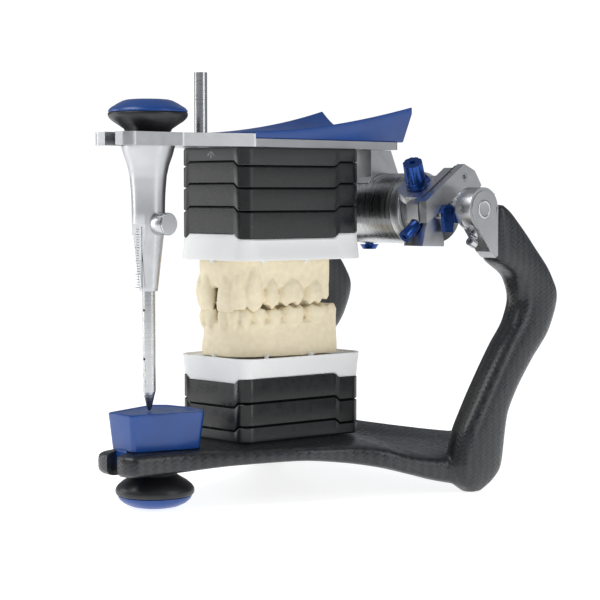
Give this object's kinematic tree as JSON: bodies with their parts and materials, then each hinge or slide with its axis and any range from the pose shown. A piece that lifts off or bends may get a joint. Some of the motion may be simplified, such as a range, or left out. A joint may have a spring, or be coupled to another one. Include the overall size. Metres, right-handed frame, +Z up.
{
  "type": "dental articulator",
  "caption": "Dental articulator: curved lower frame, hinged upper frame with handle wing, incisal pin and table, adjustable condylar housings, and jaw models on spacer stacks.",
  "frame": {"origin": "middle of the bounding box in plan, on the surface that the feet stand on", "axes": "+Z up, +Y towards the hinge at the rear, -Y towards the incisal pin at the front, +X to the right seen from the front"},
  "size_m": [0.148, 0.204, 0.1826],
  "materials": {
    "carbon": "lacquered carbon-fibre moulding with a fine weave",
    "satin_aluminium": "satin bead-blasted",
    "turned_metal": "finely turned",
    "bright_steel": "polished",
    "screw_steel": "plain steel",
    "dark_steel": "darkened steel",
    "blue_plastic": "satin moulded",
    "black_plastic": "satin moulded, ribbed grip",
    "grey_plate": "satin, dark grey",
    "black_plate": "satin, black",
    "white_plastic": "smooth",
    "model_stone": "matt dental stone",
    "blue_anodised": "dark blue anodised"
  },
  "bodies": {
    "lower_frame": {"carbon_frame": "carbon", "hinge_bracket_right": "satin_aluminium", "hinge_bracket_left": "satin_aluminium", "condyle_axle_right": "bright_steel", "condyle_axle_left": "bright_steel", "bracket_screws": "screw_steel", "axle_set_screws": "screw_steel", "stop_pins": "bright_steel", "incisal_table": "blue_plastic", "lower_mount_plate": "grey_plate", "lower_spacer_1": "black_plate", "lower_spacer_2": "black_plate", "lower_tray": "white_plastic", "lower_model": "model_stone"},
    "foot_knob": {"foot_stud": "screw_steel", "foot_ring": "black_plastic", "foot_cap": "blue_plastic"},
    "upper_frame": {"upper_plate": "satin_aluminium", "handle_wing": "blue_plastic", "wing_screws": "screw_steel", "axis_saddle": "satin_aluminium", "cross_tube": "turned_metal", "tube_flange_right": "satin_aluminium", "tube_flange_left": "satin_aluminium", "pin_sleeve": "satin_aluminium", "support_rod": "turned_metal", "upper_mount_plate": "grey_plate", "upper_spacer_1": "black_plate", "upper_spacer_2": "black_plate", "upper_spacer_3": "black_plate", "upper_tray": "white_plastic", "upper_model": "model_stone"},
    "clamp_knob": {"clamp_stud": "screw_steel", "clamp_knob_base": "black_plastic", "clamp_knob_cap": "blue_plastic"},
    "incisal_pin": {"incisal_pin": "turned_metal", "pin_tip": "dark_steel"},
    "pin_thumbscrew": {"pin_thumbscrew": "turned_metal", "thumbscrew_face": "bright_steel"},
    "axis_lock": {"axis_lock_knob": "blue_anodised"},
    "right_housing": {"condylar_housing_right": "satin_aluminium", "guide_bar_right": "satin_aluminium", "guide_screws_right": "screw_steel"},
    "right_dial": {"dial_knob_right": "blue_anodised"},
    "right_clamp_screw": {"clamp_screw_right": "blue_anodised"},
    "right_lock_lever": {"lock_lever_right": "blue_anodised"},
    "left_housing": {"condylar_housing_left": "satin_aluminium", "guide_bar_left": "satin_aluminium", "guide_screws_left": "screw_steel"},
    "left_dial": {"dial_knob_left": "blue_anodised"},
    "left_clamp_screw": {"clamp_screw_left": "blue_anodised"},
    "left_lock_lever": {"lock_lever_left": "blue_anodised"}
  },
  "joints": [
    {"name": "upper_frame_hinge", "type": "hinge", "parent": "lower_frame", "child": "upper_frame", "pos_m": [0, 0.0475, 0.1245], "axis": [-1, 0, 0], "range_deg": [0, 100]},
    {"name": "foot_knob_turn", "type": "hinge", "parent": "lower_frame", "child": "foot_knob", "pos_m": [0, -0.0793, 0.01], "axis": [0, 0, 1], "continuous": true},
    {"name": "clamp_knob_turn", "type": "hinge", "parent": "upper_frame", "child": "clamp_knob", "pos_m": [0, -0.0821, 0.16], "axis": [0, 0, 1], "continuous": true},
    {"name": "incisal_pin_slide", "type": "slide", "parent": "upper_frame", "child": "incisal_pin", "axis": [0, 0, 1], "range_m": [0, 0.01]},
    {"name": "pin_thumbscrew_turn", "type": "hinge", "parent": "upper_frame", "child": "pin_thumbscrew", "pos_m": [0.008, -0.0821, 0.1188], "axis": [1, 0, 0], "continuous": true},
    {"name": "axis_lock_turn", "type": "hinge", "parent": "upper_frame", "child": "axis_lock", "pos_m": [0, 0.0505, 0.107], "axis": [0, 0, 1], "continuous": true},
    {"name": "right_inclination", "type": "hinge", "parent": "upper_frame", "child": "right_housing", "pos_m": [0.045, 0.0475, 0.1245], "axis": [-1, 0, 0], "range_deg": [-30, 30]},
    {"name": "right_dial_turn", "type": "hinge", "parent": "right_housing", "child": "right_dial", "pos_m": [0.0433, 0.0355, 0.1345], "axis": [0.2649, -0.515, 0.8152], "range_deg": [-30, 30]},
    {"name": "right_clamp_screw_turn", "type": "hinge", "parent": "right_housing", "child": "right_clamp_screw", "pos_m": [0.0495, 0.0315, 0.1196], "axis": [0, -0.829, -0.5592], "continuous": true},
    {"name": "right_lock_lever_turn", "type": "hinge", "parent": "right_housing", "child": "right_lock_lever", "pos_m": [0.0585, 0.039, 0.1232], "axis": [-1, 0, 0], "range_deg": [0, 30]},
    {"name": "left_inclination", "type": "hinge", "parent": "upper_frame", "child": "left_housing", "pos_m": [-0.045, 0.0475, 0.1245], "axis": [-1, 0, 0], "range_deg": [-30, 30]},
    {"name": "left_dial_turn", "type": "hinge", "parent": "left_housing", "child": "left_dial", "pos_m": [-0.0433, 0.0355, 0.1345], "axis": [-0.2649, -0.515, 0.8152], "range_deg": [-30, 30]},
    {"name": "left_clamp_screw_turn", "type": "hinge", "parent": "left_housing", "child": "left_clamp_screw", "pos_m": [-0.0495, 0.0315, 0.1196], "axis": [0, -0.829, -0.5592], "continuous": true},
    {"name": "left_lock_lever_turn", "type": "hinge", "parent": "left_housing", "child": "left_lock_lever", "pos_m": [-0.0585, 0.039, 0.1232], "axis": [-1, 0, 0], "range_deg": [0, 30]}
  ]
}
